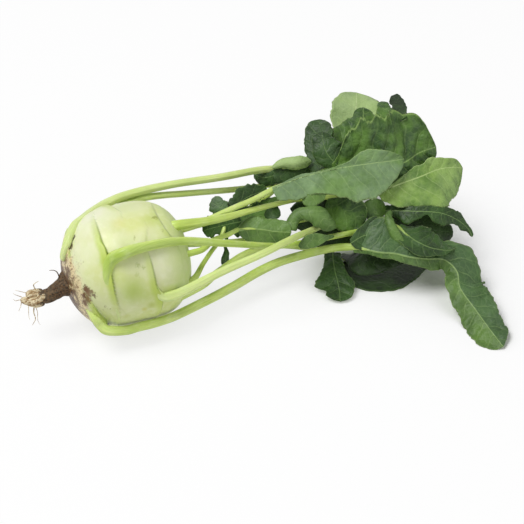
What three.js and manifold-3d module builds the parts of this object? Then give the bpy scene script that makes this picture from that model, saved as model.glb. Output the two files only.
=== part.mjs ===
// A kohlrabi as pulled from the bed: a swollen round stem (the bulb) with its cut taproot and a few
// rootlets, and the leaves, each one a stalk that springs from the bulb and a thin blade with lobes.
// The plant lies on its side. Millimetres, +Z up. +X runs along the bulb's axis from the root to the
// leaves, and the origin is the middle of the small flat spot that the bulb rests on.
import * as THREE from "three";
import { mergeVertices } from "three/addons/utils/BufferGeometryUtils.js";
import Module from "manifold-3d";

const wasm = await Module();
wasm.setup();

// Driving dimensions
const BULB_RADIUS = 41.3; // widest half width of the bulb
const REST_DEPTH = 0.8; // how much of the bulb's underside is pressed flat
const AXIS_HEIGHT = BULB_RADIUS - REST_DEPTH;
const GAP = 0.35; // clearance between neighbouring solids
const SHEET = 1.0; // thickness of a leaf blade's solid
const RIB = 1.6; // extra thickness of a blade along its midrib, at the base
const RIB_REACH = 4; // how far that thickening spreads to each side

const bulbGreen = { color: 0xd7e3ae, roughness: 0.5, metalness: 0 };
const stalkGreen = { color: 0xb4cf62, roughness: 0.45, metalness: 0 };
const leafGreen = { color: 0x4f7440, roughness: 0.6, metalness: 0 };
const rootBrown = { color: 0x7c5f40, roughness: 0.9, metalness: 0 };

const plant = new THREE.Group();

// Moves every vertex of a closed three.js geometry with place(vertex) and merges the doubles.
function reshape(geometry, place) {
  const position = geometry.getAttribute("position");
  const vertex = new THREE.Vector3();
  for (let i = 0; i < position.count; i++) {
    place(vertex.fromBufferAttribute(position, i));
    position.setXYZ(i, vertex.x, vertex.y, vertex.z);
  }
  geometry.deleteAttribute("normal");
  geometry.deleteAttribute("uv");
  return mergeVertices(geometry, 1e-3);
}

// A merged geometry as a manifold-3d solid, and a solid as a geometry again.
function solidOf(geometry) {
  return new wasm.Manifold(
    new wasm.Mesh({
      numProp: 3,
      vertProperties: new Float32Array(geometry.getAttribute("position").array),
      triVerts: new Uint32Array(geometry.index.array),
    }),
  );
}

function geometryOf(solid) {
  const mesh = solid.getMesh();
  return new THREE.BufferGeometry()
    .setAttribute("position", new THREE.BufferAttribute(mesh.vertProperties, 3))
    .setIndex(new THREE.BufferAttribute(mesh.triVerts, 1));
}

// The table that everything rests on, and every piece already in place, grown by the clearance.
const TABLE_SIZE = 900;
const TABLE_DEPTH = 40;
const table = new THREE.BoxGeometry(TABLE_SIZE, TABLE_SIZE, TABLE_DEPTH);
const occupied = [solidOf(reshape(table, (v) => v.setZ(v.z - TABLE_DEPTH / 2)))];

// Adds one named piece. grow(g) gives its geometry, g mm fatter all round. The piece is cut back
// where it would touch what is already in place, and only its largest part is kept.
function addPiece(name, grow, finish) {
  const raw = solidOf(grow(0));
  const cut = occupied.reduce((solid, other) => solid.subtract(other), raw);
  const kept = cut.decompose().sort((a, b) => b.volume() - a.volume())[0];
  occupied.push(solidOf(grow(GAP)));
  const mesh = new THREE.Mesh(geometryOf(kept), new THREE.MeshStandardMaterial(finish));
  mesh.name = name;
  plant.add(mesh);
}

function curveThrough(points) {
  return new THREE.CatmullRomCurve3(
    points.map((p) => new THREE.Vector3(...p)),
    false,
    "catmullrom",
    0.5,
  );
}

// ---------------------------------------------------------------- bulb
// Half width of the bulb at each place on its axis, from the root end to the crown.
const BULB_PROFILE = [
  [-43.5, 0],
  [-42.5, 11],
  [-39, 19],
  [-35, 28],
  [-29, 34.5],
  [-20, 38.6],
  [-8, 40.9],
  [4, 41.3],
  [16, 40.3],
  [26, 36.8],
  [34, 30],
  [39.5, 21],
  [42, 10],
  [42.5, 0],
];
const BULB_SIDES = 44;

function bulbGeometry(grow) {
  const outline = BULB_PROFILE.map(([x, r]) => {
    const swell = r === 0 ? 0 : grow;
    return new THREE.Vector2(r + swell, x + Math.sign(x) * grow * (1 - r / BULB_RADIUS));
  });
  return reshape(new THREE.LatheGeometry(outline, BULB_SIDES), (v) =>
    v.set(v.y, v.x, AXIS_HEIGHT - v.z),
  );
}
addPiece("bulb", bulbGeometry, bulbGreen);

// ---------------------------------------------------------------- stalks and root
// A value at t (0 to 1) read from an evenly spaced list.
function along(list, t) {
  const place = t * (list.length - 1);
  const k = Math.min(Math.floor(place), list.length - 2);
  return THREE.MathUtils.lerp(list[k], list[k + 1], place - k);
}

// Bends a cylinder along a path. thick lists its half thickness from the base to the tip.
function limbGeometry({ path, thick, sides = 8, steps = 14 }, grow) {
  const curve = curveThrough(path);
  const frames = curve.computeFrenetFrames(steps, false);
  return reshape(new THREE.CylinderGeometry(1, 1, 1, sides, steps), (v) => {
    const t = v.y + 0.5;
    const k = Math.round(t * steps);
    const r = along(thick, t) + grow;
    const [across, up] = [v.x * r, -v.z * r];
    v.copy(curve.getPointAt(t));
    v.addScaledVector(frames.normals[k], across).addScaledVector(frames.binormals[k], up);
  });
}

// The leaf stalks, each from the bulb to the foot of its blade. A leaf and its stalk share a number:
// the first six leave the near side and the back of the bulb, the others the middle of its crown.
const STALKS = [
  {
    name: "stalk_1",
    path: [
      [-42, 1, 55], [-40, 2, 61], [-37, 4, 66], [-34, 8, 68], [-28, 16, 70], [-21, 22, 69], [-13, 31, 66],
      [-5, 37, 65], [2, 40, 65], [13, 42, 66], [32, 43, 66], [53, 42, 66], [83, 41, 64], [114, 43, 61],
      [145, 44, 55], [174, 55, 50], [199, 71, 50],
    ],
    thick: [1.9, 2.5, 2.8, 2.9, 3.0, 3.0, 2.9, 2.9, 2.9, 2.8, 2.8, 2.7, 2.5, 2.3, 2.2],
    steps: 24,
  },
  {
    name: "stalk_2",
    path: [
      [-4, 33, 54], [4, 37, 58], [13, 41, 60], [31, 42, 60], [60, 41, 56], [95, 41, 50], [120, 40, 48],
      [149, 23, 57],
    ],
    thick: [3.4, 2.6, 2.3, 2.2, 2, 1.8],
  },
  {
    name: "stalk_3",
    path: [[34, 2, 58], [50, -1, 61], [62, 1, 62], [80, 3, 65], [93, 4, 67], [110, 7, 70]],
    thick: [3.2, 2.4, 2.1, 2.0, 1.9],
  },
  {
    name: "stalk_4",
    path: [
      [29, -6, 68], [36, -8, 70], [56, -7, 67], [72, -4, 64], [93, 2, 60], [110, 6, 57], [131, 9, 54],
      [158, 2, 54], [180, -9, 59],
    ],
    thick: [3.8, 2.9, 2.3, 1.9, 1.8, 1.8, 1.7],
  },
  {
    name: "stalk_5",
    path: [
      [-17, -24, 70], [-6, -30, 76], [13, -28, 75], [33, -25, 70], [62, -28, 62], [96, -27, 49],
      [118, -23, 42], [146, -20, 38], [171, -22, 38], [187, -28, 41],
    ],
    thick: [4.4, 3.2, 2.8, 2.5, 2.2, 2.1, 2.0, 2.0, 1.9],
  },
  {
    name: "stalk_6",
    path: [
      [9, -41, 40], [16, -42, 41], [26, -42, 42], [39, -40, 44], [58, -38, 48], [84, -38, 54],
      [103, -34, 56], [121, -23, 50], [156, -4, 38], [185, -14, 44],
    ],
    thick: [3.8, 3.0, 2.7, 2.5, 2.4, 2.3, 2.1, 2.0, 1.9],
  },
  {
    name: "stalk_7",
    path: [[35, -19, 53], [41, -20, 54], [49, -19, 54], [60, -10, 52], [71, -7, 51], [80, -3, 50]],
    thick: [2.4, 2.0, 1.8, 1.6],
  },
  {
    name: "stalk_8",
    path: [
      [32, -24, 37], [39, -27, 37], [50, -15, 38], [60, -5, 39], [68, 2, 40], [73, 8, 43], [77, 14, 47],
    ],
    thick: [2.6, 1.9, 1.6, 1.5, 1.4],
  },
  {
    name: "stalk_9",
    path: [
      [24, -31, 28], [39, -28, 29], [47, -27, 31], [56, -22, 32], [67, -17, 33], [79, -12, 34],
      [92, -8, 33], [107, -3, 28], [128, 0, 18], [145, -1, 10], [160, -6, 3],
    ],
    thick: [3.6, 2.6, 2.3, 2.2, 2.0, 2.0],
  },
  {
    name: "stalk_10",
    path: [
      [-33, -24, 34], [-31, -32, 29], [-29, -34, 24], [-25, -37, 20], [-13, -38, 17], [-4, -39, 18],
      [10, -39, 18], [27, -36, 18], [63, -25, 18], [92, -16, 20], [111, -15, 23], [139, -20, 28],
      [154, -28, 32],
    ],
    thick: [3.6, 3.3, 3.1, 3.1, 3.2, 3.2, 3.2, 3.1, 2.9, 2.6],
  },
  {
    name: "stalk_11",
    path: [[39, 11, 52], [63, 15, 48], [101, 25, 44], [132, 42, 46]],
    thick: [3.2, 2.2, 2.0, 1.9],
  },
  {
    name: "stalk_12",
    path: [[38, -5, 52], [56, -4, 46], [78, -3, 40], [101, 0, 36], [123, 9, 34]],
    thick: [3.2, 2.2, 2.0, 1.9],
  },
];
const ROOT = [
  {
    name: "taproot",
    path: [[-36, -1, 38], [-43, -3, 37], [-50, -4, 35], [-55, -5, 34], [-59, -5, 34], [-63, -4, 33]],
    thick: [19, 10, 6.4, 5.4, 4.8, 4],
  },
  {
    name: "root_limb",
    path: [[-60, -6, 32], [-64, -5, 31], [-69, -2, 31], [-73, 1, 31]],
    thick: [3.6, 3.3, 2.6, 1.8],
    steps: 6,
  },
  {
    name: "root_stub",
    path: [[-61, -1, 34], [-65, -1, 35], [-69, 1, 35]],
    thick: [3.4, 3, 2.2],
    steps: 5,
  },
  {
    name: "rootlet_1",
    path: [[-63, 0, 36], [-63, 0, 42], [-60, -1, 44]],
    thick: [0.8, 0.6, 0.4],
    sides: 6,
    steps: 5,
  },
  {
    name: "rootlet_2",
    path: [[-46, -2, 43], [-47, -1, 48], [-49, 0, 50], [-51, 1, 50]],
    thick: [0.8, 0.6, 0.4],
    sides: 6,
    steps: 5,
  },
  {
    name: "rootlet_3",
    path: [[-65, -4, 30], [-67, -6, 24], [-67, -9, 20]],
    thick: [0.8, 0.6, 0.4],
    sides: 6,
    steps: 5,
  },
];
for (const limb of ROOT) {
  addPiece(limb.name, (grow) => limbGeometry(limb, grow), rootBrown);
}

for (const stalk of STALKS) {
  addPiece(stalk.name, (grow) => limbGeometry(stalk, grow), stalkGreen);
}

// ---------------------------------------------------------------- leaf blades
const COLUMNS = 6; // facets across a blade
const MIN_ROWS = 7; // fewest facets along it
const FLAT = [0, 0]; // the bend of a side that lies flat
const LEAST_CURL = 1e-4; // keeps the arc of a straight side from dividing by zero

// Bends a thin box into a blade. The midrib is its path from the stalk to the tip, and face is the
// way its upper side looks. near and far list the width either side of the midrib, near being the
// side to the right of someone who walks to the tip. Each side folds up from the midrib by the first
// angle of its bend and curls on by the second.
function bladeGeometry({ midrib, face, near, far, nearBend = FLAT, farBend = FLAT }, grow) {
  const rows = Math.max(near.length, far.length, MIN_ROWS) - 1;
  const curve = curveThrough(midrib);
  const [tangent, side, up, out] = [0, 0, 0, 0].map(() => new THREE.Vector3());
  return reshape(new THREE.BoxGeometry(2, 1, 1, COLUMNS, rows, 1), (v) => {
    const t = v.y + 0.5;
    const s = Math.abs(v.x);
    const hand = Math.sign(v.x);
    const [list, bend] = v.x > 0 ? [near, nearBend] : [far, farBend];
    const width = along(list, t) + grow;
    const fold = THREE.MathUtils.degToRad(bend[0]);
    const curl = THREE.MathUtils.degToRad(bend[1]) + LEAST_CURL;
    const angle = fold + curl * s;
    const thick = SHEET / 2 + grow;
    const drop = v.z < 0 ? RIB * (1 - t) * Math.max(0, 1 - (s * width) / RIB_REACH) : 0;
    tangent.copy(curve.getTangentAt(t));
    up.set(...face).addScaledVector(tangent, -tangent.dot(up)).normalize();
    side.crossVectors(tangent, up);
    out.copy(up).multiplyScalar(Math.cos(angle)).addScaledVector(side, -hand * Math.sin(angle));
    const lift = Math.sign(v.z) * thick - drop;
    v.copy(curve.getPointAt(t));
    v.addScaledVector(side, (hand * width * (Math.sin(angle) - Math.sin(fold))) / curl);
    v.addScaledVector(up, (width * (Math.cos(fold) - Math.cos(angle))) / curl);
    v.addScaledVector(out, lift);
  });
}

// Each leaf has one end blade and, lower on its stalk, the small lobes that carry its number.
const BLADES = [
  {
    name: "blade_1",
    midrib: [[200, 72, 50], [206, 83, 57], [210, 90, 65], [215, 101, 69]],
    face: [0.2, 0.8, -0.4],
    near: [14, 17, 19, 19, 18, 14, 8],
    far: [14, 17, 18, 18, 18, 17, 11],
    nearBend: [0, -10],
    farBend: [0, -10],
  },
  {
    name: "lobe_1a",
    midrib: [[121, 39, 63], [129, 36, 67], [138, 32, 68], [150, 34, 65]],
    face: [0.1, 0.6, -0.4],
    near: [2, 5, 7, 7, 3],
    far: [2, 6, 9, 8, 3],
    nearBend: [10, 60],
    farBend: [10, 80],
  },
  {
    name: "lobe_1b",
    midrib: [[130, 37, 59], [121, 38, 57], [115, 41, 55], [111, 49, 54]],
    face: [-0.3, -0.7, 0.5],
    near: [4, 5, 5, 4, 2],
    far: [4, 6, 7, 5, 2],
    nearBend: [0, -20],
    farBend: [0, -20],
  },
  {
    name: "lobe_1c",
    midrib: [[121, 35, 57], [133, 35, 58], [143, 35, 58], [152, 36, 58]],
    face: [-0.3, -0.6, 0.7],
    near: [4, 6, 6, 3],
    far: [3, 5, 5, 3],
    nearBend: [0, -20],
    farBend: [0, -20],
  },
  {
    name: "blade_2",
    midrib: [[149, 22, 60], [165, 9, 65], [184, 1, 70], [205, 0, 72], [221, 6, 73], [235, 7, 74]],
    face: [-0.3, -0.7, 0.6],
    near: [4, 9, 13, 16, 17, 17, 16, 13, 9],
    far: [4, 6, 11, 20, 27, 32, 38, 36, 38, 36, 36, 36, 32, 22, 7],
    nearBend: [0, -10],
    farBend: [10, 10],
  },
  {
    name: "lobe_2d",
    midrib: [[162, 16, 70], [157, 24, 77], [157, 32, 83], [159, 38, 86]],
    face: [-0.3, -0.7, 0.5],
    near: [9, 13, 12, 9, 6],
    far: [5, 9, 9, 8, 4],
    nearBend: [0, -20],
    farBend: [0, -20],
  },
  {
    name: "lobe_2a",
    midrib: [[151, 24, 59], [158, 42, 66], [162, 53, 73], [168, 63, 79]],
    face: [-0.5, -0.6, 0.3],
    near: [3, 8, 11, 12, 8],
    far: [4, 8, 9, 9, 7],
    nearBend: [0, 10],
    farBend: [0, 10],
  },
  {
    name: "lobe_2b",
    midrib: [[211, 19, 94], [216, 32, 96], [219, 48, 97]],
    face: [-0.3, -0.7, 0.6],
    near: [5, 6, 6, 5, 3],
    far: [4, 5, 5, 5, 2],
    nearBend: [0, 40],
    farBend: [0, 40],
  },
  {
    name: "lobe_2c",
    midrib: [[200, 21, 92], [204, 33, 95], [208, 45, 96]],
    face: [-0.3, -0.7, 0.6],
    near: [4, 6, 6, 6, 3],
    far: [4, 5, 5, 4, 2],
    nearBend: [0, 10],
    farBend: [0, 10],
  },
  {
    name: "blade_3",
    midrib: [[108, 6, 71], [129, 6, 75], [152, 2, 79], [174, -3, 81], [191, -7, 82], [202, -7, 81]],
    face: [-0.3, -0.6, 0.7],
    near: [8, 12, 14, 14, 14, 17, 21, 24, 26, 24, 20, 12, 2],
    far: [1, 1, 2, 2, 1, 1, 2, 4, 8, 10, 9, 6, 1],
    nearBend: [0, -10],
    farBend: [25, 5],
  },
  {
    name: "lobe_3a",
    midrib: [[128, 0, 67], [136, -4, 67], [144, -6, 66]],
    face: [-0.3, -0.7, 0.6],
    near: [6, 9, 10, 10, 8, 6, 4],
    far: [2, 3, 3, 2],
    nearBend: [0, 10],
  },
  {
    name: "blade_4",
    midrib: [
      [181, -11, 60], [198, -12, 64], [213, -13, 67], [227, -11, 68], [239, -11, 67], [248, -11, 64],
    ],
    face: [-0.2, -0.6, 0.75],
    near: [6, 12, 16, 18, 20, 22, 26, 26, 25, 22, 19, 10],
    far: [1, 1, 2, 4, 6, 8, 8, 10, 8, 7, 6, 2],
    nearBend: [0, -10],
    farBend: [15, 0],
  },
  {
    name: "lobe_4a",
    midrib: [[148, 3, 50], [156, -7, 50], [164, -14, 47], [169, -19, 43]],
    face: [-0.5, -0.6, 0.4],
    near: [8, 11, 14, 16, 14, 10],
    far: [3, 6, 9, 12, 10, 4],
    nearBend: [0, 20],
    farBend: [0, 30],
  },
  {
    name: "lobe_4b",
    midrib: [[170, -17, 46], [177, -17, 50], [187, -13, 49]],
    face: [-0.3, -0.7, 0.5],
    near: [7, 9, 8, 6, 4],
    far: [4, 9, 9, 6, 3],
    nearBend: [0, 20],
    farBend: [0, 20],
  },
  {
    name: "lobe_4c",
    midrib: [[102, 2, 50], [107, 3, 53], [113, 6, 54]],
    face: [-0.3, -0.6, 0.6],
    near: [2, 6, 6, 2],
    far: [2, 4, 4, 2],
    nearBend: [0, 20],
    farBend: [0, 20],
  },
  {
    name: "blade_5",
    midrib: [
      [187, -30, 42], [191, -39, 41], [197, -47, 38], [205, -53, 35], [217, -55, 31], [226, -51, 28],
    ],
    face: [-0.1, -0.7, 0.7],
    near: [5, 8, 10, 10, 7, 4, 1, 1],
    far: [6, 14, 18, 19, 16, 10, 3],
    nearBend: [0, 40],
    farBend: [-35, 0],
  },
  {
    name: "lobe_5a",
    midrib: [
      [187, -22, 51], [182, -28, 50], [181, -35, 46], [183, -41, 41], [187, -46, 36], [191, -51, 32],
    ],
    face: [-0.5, -0.7, 0.4],
    near: [2, 4, 5, 5, 3, 2],
    far: [2, 4, 5, 5, 3, 2],
    nearBend: [0, -70],
    farBend: [0, -70],
  },
  {
    name: "lobe_5b",
    midrib: [[183, -24, 39], [198, -23, 38], [214, -30, 35], [228, -41, 30]],
    face: [-0.1, -0.6, 0.8],
    near: [4, 8, 10, 10, 7],
    far: [3, 7, 9, 9, 6],
    nearBend: [0, -10],
    farBend: [0, -10],
  },
  {
    name: "blade_6",
    midrib: [
      [185, -15, 46], [200, -27, 50], [218, -36, 50], [230, -41, 44], [237, -45, 37], [239, -49, 32],
    ],
    face: [-0.1, -0.6, 0.8],
    near: [3, 4, 6, 8, 8, 6, 2, 6, 8, 7, 4, 4, 4, 2, 1],
    far: [4, 4, 4, 4, 5, 6, 3, 2],
    nearBend: [0, -20],
  },
  {
    name: "lobe_6a",
    midrib: [[114, -29, 45], [124, -30, 47], [131, -33, 50], [140, -31, 48]],
    face: [-0.3, -0.8, 0.5],
    near: [2, 4, 4, 2, 1],
    far: [1, 5, 5, 2, 1],
  },
  {
    name: "blade_7",
    midrib: [[79, -4, 50], [87, -6, 51], [95, -10, 51], [103, -14, 50], [113, -19, 50]],
    face: [0, -0.3, 0.9],
    near: [3, 10, 10, 10, 8, 4],
    far: [2, 7, 9, 8, 9, 8, 7],
    nearBend: [-50, 0],
    farBend: [20, 0],
  },
  {
    name: "lobe_7a",
    midrib: [
      [112, -16, 50], [116, -12, 55], [121, -10, 59], [127, -13, 61], [133, -18, 60], [138, -23, 56],
      [143, -26, 50],
    ],
    face: [-0.3, -0.3, 0.8],
    near: [6, 6, 7, 7, 8, 9, 8, 5],
    far: [5, 5, 5, 6, 7, 7, 6, 4],
    nearBend: [0, -60],
    farBend: [0, -60],
  },
  {
    name: "blade_8",
    midrib: [[77, 15, 47], [87, 21, 52], [99, 24, 55], [112, 24, 57]],
    face: [-0.3, -0.7, 0.5],
    near: [2, 4, 5, 6, 5, 3],
    far: [4, 4, 5, 6, 8, 10, 8, 5, 3],
  },
  {
    name: "lobe_8c",
    midrib: [[78, 16, 50], [75, 23, 53], [75, 30, 57]],
    face: [-0.3, -0.7, 0.5],
    near: [3, 5, 6, 4, 2],
    far: [3, 6, 7, 5, 3],
  },
  {
    name: "lobe_8a",
    midrib: [[86, 7, 48], [75, 10, 46], [59, 13, 43]],
    face: [0.3, -0.7, 0.5],
    near: [4, 6, 6, 8, 6, 7, 4],
    far: [5, 9, 6, 10, 5, 7, 3],
  },
  {
    name: "lobe_8d",
    midrib: [[86, 14, 42], [97, 17, 44], [109, 20, 46], [120, 22, 48]],
    face: [-0.3, -0.6, 0.7],
    near: [5, 8, 7, 9, 5, 3],
    far: [4, 6, 5, 7, 4, 3],
  },
  {
    name: "lobe_8b",
    midrib: [[70, 2, 39], [70, -5, 36], [68, -10, 33], [66, -15, 30]],
    face: [-0.3, -0.8, 0.4],
    near: [1, 1, 2, 3, 2],
    far: [1, 1, 2, 2, 1],
  },
  {
    name: "blade_9",
    midrib: [[162, -5, 0], [175, -21, 0], [194, -21, 0], [219, -13, 0], [240, -5, 0]],
    face: [0, 0, 1],
    near: [8, 20, 26, 24, 20, 21, 11, 3],
    far: [8, 20, 30, 34, 30, 20, 6],
  },
  {
    name: "lobe_9a",
    midrib: [[151, -6, 11], [148, -14, 10], [145, -25, 8], [143, -36, 4], [139, -48, 2]],
    face: [-0.1, -0.2, 1],
    near: [6, 6, 7, 8, 11, 16, 16, 10, 11, 9],
    far: [6, 6, 7, 8, 10, 12, 10, 8],
    nearBend: [0, 10],
    farBend: [0, 10],
  },
  {
    name: "lobe_9b",
    midrib: [[156, -5, 5], [164, -25, 13], [181, -31, 14], [199, -34, 13]],
    face: [0, -0.5, 0.9],
    near: [1, 2, 8, 10, 8, 5, 2],
    far: [4, 8, 8, 6, 2],
    nearBend: [0, -20],
  },
  {
    name: "blade_10",
    midrib: [
      [155, -30, 32], [162, -37, 34], [169, -44, 35], [179, -48, 34], [188, -53, 32], [201, -55, 28],
      [214, -56, 24], [219, -66, 20], [216, -78, 15], [219, -94, 9], [221, -114, 5], [223, -129, 2],
    ],
    face: [-0.2, -0.7, 0.7],
    near: [3, 3, 4, 5, 6, 8, 7, 9, 10, 12, 14, 14, 10],
    far: [10, 22, 24, 18, 8, 6, 7, 11, 18, 17, 18, 17, 16, 14, 12, 10, 3],
    nearBend: [-12, 5],
    farBend: [-10, 0],
  },
  {
    name: "lobe_10b",
    midrib: [[153, -30, 37], [164, -28, 39], [175, -30, 39], [184, -39, 38], [190, -49, 36]],
    face: [-0.2, -0.7, 0.7],
    near: [4, 14, 16, 16, 14, 8],
    far: [2, 5, 8, 12, 8, 5, 2, 1],
    nearBend: [0, 15],
    farBend: [0, 10],
  },
  {
    name: "lobe_10a",
    midrib: [[136, -10, 24], [149, -11, 25], [161, -12, 26], [171, -15, 27]],
    face: [-0.3, -0.6, 0.7],
    near: [3, 5, 6, 5, 3],
    far: [3, 6, 7, 6, 3],
  },
  {
    name: "blade_11",
    midrib: [[133, 41, 47], [157, 39, 54], [183, 51, 63], [200, 59, 70], [208, 73, 74]],
    face: [-0.3, -0.7, 0.6],
    near: [5, 12, 18, 18, 15, 12, 5],
    far: [4, 10, 14, 15, 12, 11, 5],
    nearBend: [0, -20],
    farBend: [0, -20],
  },
  {
    name: "lobe_12a",
    midrib: [[124, 2, 45], [136, 6, 47], [149, 5, 48], [163, 0, 48]],
    face: [-0.3, -0.6, 0.7],
    near: [4, 8, 9, 9, 6],
    far: [7, 8, 9, 8, 5],
  },
  {
    name: "blade_12",
    midrib: [[126, 10, 34], [142, 7, 34], [155, 1, 34], [165, -7, 34]],
    face: [-0.3, -0.6, 0.7],
    near: [3, 10, 14, 15, 12, 4],
    far: [3, 8, 12, 12, 8, 4],
  },
];
for (const blade of BLADES) {
  addPiece(blade.name, (grow) => bladeGeometry(blade, grow), leafGreen);
}

export default plant;
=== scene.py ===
import math

import bmesh
import bpy
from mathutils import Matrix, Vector, noise


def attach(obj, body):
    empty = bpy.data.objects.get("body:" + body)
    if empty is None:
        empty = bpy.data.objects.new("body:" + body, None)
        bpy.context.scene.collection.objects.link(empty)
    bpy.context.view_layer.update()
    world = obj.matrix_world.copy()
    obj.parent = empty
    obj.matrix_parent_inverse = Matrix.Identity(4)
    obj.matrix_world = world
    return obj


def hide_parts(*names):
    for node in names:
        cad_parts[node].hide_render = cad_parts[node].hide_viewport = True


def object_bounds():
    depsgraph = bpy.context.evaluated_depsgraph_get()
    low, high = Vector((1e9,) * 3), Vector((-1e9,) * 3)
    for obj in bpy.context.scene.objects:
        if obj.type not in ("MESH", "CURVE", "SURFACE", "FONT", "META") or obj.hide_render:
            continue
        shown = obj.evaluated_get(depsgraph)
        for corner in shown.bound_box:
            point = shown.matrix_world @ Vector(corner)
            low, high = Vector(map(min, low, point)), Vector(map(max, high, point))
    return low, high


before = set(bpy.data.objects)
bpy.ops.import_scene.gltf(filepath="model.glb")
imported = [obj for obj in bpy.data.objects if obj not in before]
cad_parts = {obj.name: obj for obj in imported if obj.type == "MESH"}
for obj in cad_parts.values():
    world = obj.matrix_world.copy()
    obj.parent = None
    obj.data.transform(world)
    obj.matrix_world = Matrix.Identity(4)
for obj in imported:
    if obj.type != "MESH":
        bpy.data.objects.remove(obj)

cad_low, cad_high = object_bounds()

# ---- Camera, light and ground ----
# The plant lies on a sheet of white paper, under a large soft lamp, with a second lamp in front that
# fills the shadows. The camera looks down on it along a line 40 degrees above the table.
MM = 0.001
LOOK_AT = Vector((87.0, -30.2, 40.0)) * MM
TOWARDS_CAMERA = Vector((-0.2745, -0.7152, 0.6428))
CAMERA_DISTANCE = 841 * MM
scene = bpy.context.scene
scene.view_settings.view_transform = "Standard"

camera = bpy.data.objects.new("camera", bpy.data.cameras.new("camera"))
camera.data.lens = 85
camera.data.sensor_width = 36
camera.data.clip_start = 0.02
camera.data.clip_end = 20
camera.location = LOOK_AT + TOWARDS_CAMERA * CAMERA_DISTANCE
camera.rotation_mode = "QUATERNION"
camera.rotation_quaternion = (-TOWARDS_CAMERA).to_track_quat("-Z", "Y")
scene.collection.objects.link(camera)
scene.camera = camera


def add_lamp(name, place, size, power):
    """A round soft lamp that points at the plant."""
    lamp = bpy.data.objects.new(name, bpy.data.lights.new(name, "AREA"))
    lamp.data.shape = "DISK"
    lamp.data.size = size
    lamp.data.energy = power
    lamp.location = place
    lamp.rotation_euler = (LOOK_AT - Vector(place)).to_track_quat("-Z", "Y").to_euler()
    scene.collection.objects.link(lamp)


add_lamp("soft_lamp_above", (-0.5, 0.05, 1.25), 0.8, 14.6)
add_lamp("fill_lamp_front", (0.7, -1.25, 0.75), 1.2, 5.5)


def add_node(tree, kind, settings=None, links=None):
    """One shader node: settings are its properties or socket values, links feed its sockets."""
    node = tree.nodes.new(kind)
    for key, value in (settings or {}).items():
        if isinstance(key, str) and hasattr(node, key):
            setattr(node, key, value)
        else:
            node.inputs[key].default_value = value
    for key, source in (links or {}).items():
        tree.links.new(source, node.inputs[key])
    return node


def add_seen_ray(tree):
    """1 where the camera sees the surface, straight or by way of a gloss or a glass, and 0 elsewhere."""
    rays = add_node(tree, "ShaderNodeLightPath")
    seen = rays.outputs["Is Camera Ray"]
    for ray in ("Is Glossy Ray", "Is Transmission Ray"):
        seen = add_node(tree, "ShaderNodeMath", {"operation": "MAXIMUM"},
                        {0: seen, 1: rays.outputs[ray]}).outputs[0]
    return seen


def start_finish(name):
    """A new material with no nodes yet, and its node tree."""
    finish = bpy.data.materials.new(name)
    finish.use_nodes = True
    finish.node_tree.nodes.clear()
    return finish, finish.node_tree


# White studio walls: as bright as the paper to the eye, but a dim light on the plant.
WALL_LIGHT = 0.24
scene.world = bpy.data.worlds.new("studio")
scene.world.use_nodes = True
tree = scene.world.node_tree
tree.nodes.clear()
strength = add_node(tree, "ShaderNodeMapRange", {"To Min": WALL_LIGHT}, {"Value": add_seen_ray(tree)})
walls = add_node(tree, "ShaderNodeBackground", {"Color": (1, 1, 1, 1)}, {"Strength": strength.outputs[0]})
add_node(tree, "ShaderNodeOutputWorld", None, {"Surface": walls.outputs[0]})

# White paper: matt, and where the camera sees it, it glows white too, so that open paper is white and only
# the shade close to the plant shows. The glow is painted light, taken away close to the plant, so the shade
# reaches further and is deeper under the leaves than beside the bulb.
BULB_SIDE, LEAF_SIDE = 20 * MM, 200 * MM
MOST_GLOW = 0.93
white_paper, tree = start_finish("white_paper")
coords = add_node(tree, "ShaderNodeTexCoord").outputs["Object"]
parts = add_node(tree, "ShaderNodeSeparateXYZ", None, {0: coords})
shade = {}
for part, by_bulb, by_leaves in (("reach", 45 * MM, 110 * MM), ("depth", -2.0, 0.7)):
    shade[part] = add_node(tree, "ShaderNodeMapRange",
                           {"interpolation_type": "SMOOTHSTEP", "From Min": BULB_SIDE,
                            "From Max": LEAF_SIDE, "To Min": by_bulb, "To Max": by_leaves},
                           {"Value": parts.outputs["X"]}).outputs[0]
open_paper = add_node(tree, "ShaderNodeAmbientOcclusion", {"samples": 16}, {"Distance": shade["reach"]})
# How much of the painted glow the camera sees: less where the plant shades the paper, most on open paper.
glow_share = add_node(tree, "ShaderNodeMapRange", {"From Max": 0.98, "To Max": MOST_GLOW},
               {"Value": open_paper.outputs["AO"], "From Min": shade["depth"]})
glow_share = add_node(tree, "ShaderNodeMath", {"operation": "MULTIPLY"}, {0: glow_share.outputs[0], 1: add_seen_ray(tree)})
matt = add_node(tree, "ShaderNodeBsdfDiffuse", {"Color": (0.9, 0.9, 0.9, 1)})
bright = add_node(tree, "ShaderNodeEmission", {"Color": (1, 1, 1, 1), "Strength": 1.0})
paper = add_node(tree, "ShaderNodeMixShader", None,
                 {0: glow_share.outputs[0], 1: matt.outputs[0], 2: bright.outputs[0]})
add_node(tree, "ShaderNodeOutputMaterial", None, {"Surface": paper.outputs[0]})

sheet = bmesh.new()
bmesh.ops.create_grid(sheet, x_segments=4, y_segments=4, size=6.0)
bmesh.ops.translate(sheet, verts=sheet.verts, vec=(0, 0, cad_low.z - 0.2 * MM))
ground = bpy.data.objects.new("ground", bpy.data.meshes.new("ground"))
sheet.to_mesh(ground.data)
sheet.free()
ground.data.materials.append(white_paper)
scene.collection.objects.link(ground)


# ---- Bulb ----
# The swollen stem: one firm, round, pale green body with a thin waxy skin. Each old leaf leaves a
# low crescent ridge round it, and the root end is cream and corky where the skin stops.
AXIS_HEIGHT = 40.5
BULB_RADIUS = 41.3
WIDEST = 4
CROWN_LENGTH = 38.5
ROOT_LENGTH = 47.5


def linear(code):
    """A colour written as an sRGB hex value, as the linear numbers that the shaders take."""
    channels = [(code >> shift & 255) / 255 for shift in (16, 8, 0)]
    return (*[c / 12.92 if c < 0.04045 else ((c + 0.055) / 1.055) ** 2.4 for c in channels], 1.0)


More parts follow.
